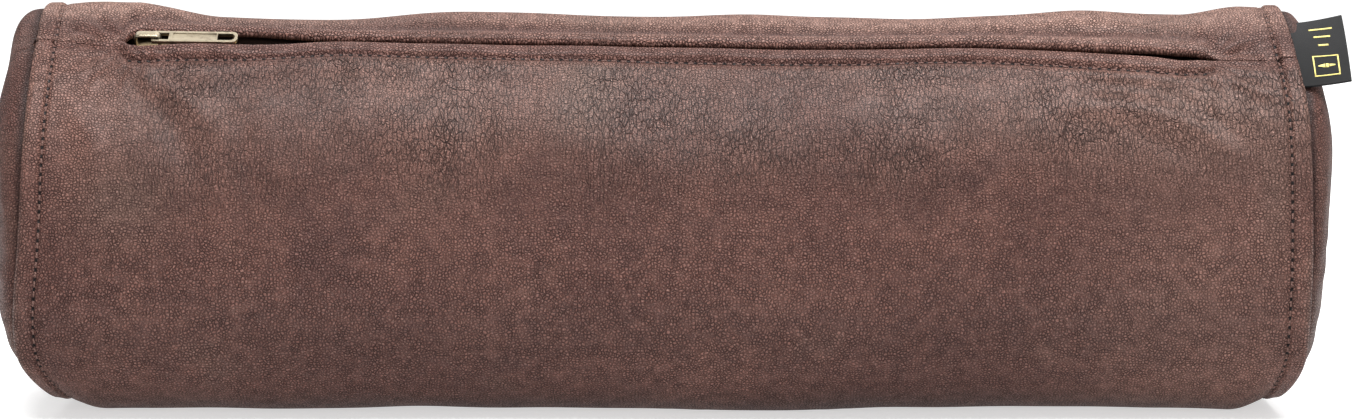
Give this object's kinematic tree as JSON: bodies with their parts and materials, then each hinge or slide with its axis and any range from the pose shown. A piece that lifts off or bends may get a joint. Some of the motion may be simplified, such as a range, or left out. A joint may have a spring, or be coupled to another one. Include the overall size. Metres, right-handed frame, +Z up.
{
  "type": "leather barrel brush case",
  "caption": "Long loaf-shaped leather brush case, lying on its flat side, with domed ends and a zipped mouth along the top.",
  "frame": {"origin": "middle of the flat underside that the case rests on", "axes": "+X along the case, towards the end that the slider opens to; -Y to the front, where the zip leans; +Z up"},
  "size_m": [0.4401, 0.137, 0.1265],
  "materials": {
    "leather": "waxed pull-up leather, soft sheen, fine pebble grain",
    "lining": "plain woven cotton",
    "thread": "waxed thread",
    "tape": "woven zip tape",
    "label": "black woven label with a pale yellow mark",
    "brass": "antique brass",
    "pull": "polished antique brass"
  },
  "bodies": {
    "case": {"main_panel": "leather", "end_panel_right": "leather", "end_panel_left": "leather", "main_lining": "lining", "end_lining_right": "lining", "end_lining_left": "lining", "end_stitches_right": "thread", "end_stitches_left": "thread", "label": "label", "zip_top_stops": "brass", "zip_bottom_stop": "brass", "zip_tape_ends_right": "tape", "zip_tape_ends_left": "tape", "zip_teeth_left": "brass"},
    "front_mouth": {"front_lip": "leather", "front_lip_lining": "lining", "front_lip_stitches": "thread", "zip_tape_front": "tape", "zip_teeth_front": "brass"},
    "back_mouth": {"back_lip": "leather", "back_lip_lining": "lining", "zip_tape_back": "tape", "zip_teeth_back": "brass"},
    "slider": {"slider_body": "brass", "slider_bail": "brass"},
    "pull": {"pull_tab": "pull"}
  },
  "joints": [
    {"name": "front_mouth_open", "type": "hinge", "parent": "case", "child": "front_mouth", "pos_m": [0, -0.04665, 0.0957], "axis": [1, 0, 0], "range_deg": [0, 38]},
    {"name": "back_mouth_open", "type": "hinge", "parent": "case", "child": "back_mouth", "pos_m": [0, 0.00035, 0.1242], "axis": [-1, 0, 0], "range_deg": [0, 38]},
    {"name": "slider_slide", "type": "slide", "parent": "case", "child": "slider", "axis": [0.9997, -0.0188, -0.0122], "range_m": [0, 0.3355]},
    {"name": "pull_pivot", "type": "hinge", "parent": "slider", "child": "pull", "pos_m": [-0.16656, -0.0235, 0.12004], "axis": [-0.0224, -0.8385, -0.5445], "range_deg": [0, 145]}
  ],
  "couplings": [
    {"joint": "back_mouth_open", "follows": "front_mouth_open", "ratio": 1}
  ]
}
